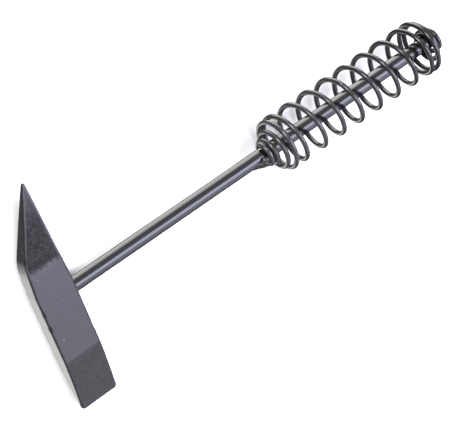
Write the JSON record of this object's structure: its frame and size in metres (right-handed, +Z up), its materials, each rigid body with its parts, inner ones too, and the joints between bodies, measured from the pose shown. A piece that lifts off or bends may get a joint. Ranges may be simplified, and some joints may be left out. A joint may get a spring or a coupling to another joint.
{
  "type": "chipping hammer",
  "caption": "All-steel chipping hammer: flat forged head with a pick and a cross chisel, round rod handle and an open coil spring grip, painted black.",
  "frame": {"origin": "middle of the bounding box, on the plane the hammer lies on", "axes": "+X from the head towards the grip, +Y towards the pick, +Z up from the bench; the rod leans up by 3.86 degrees because the grip is fatter than the head"},
  "size_m": [0.3064, 0.1392, 0.0427],
  "materials": {
    "head_paint": "satin black paint over forged steel",
    "rod_paint": "gloss black paint",
    "spring_paint": "gloss black paint",
    "weld_paint": "gloss black paint over rough weld"
  },
  "bodies": {
    "root": {"hammer_head": "head_paint", "head_weld": "weld_paint", "handle_rod": "rod_paint", "grip_spring": "spring_paint", "front_weld": "weld_paint", "rear_weld": "weld_paint"}
  },
  "joints": []
}
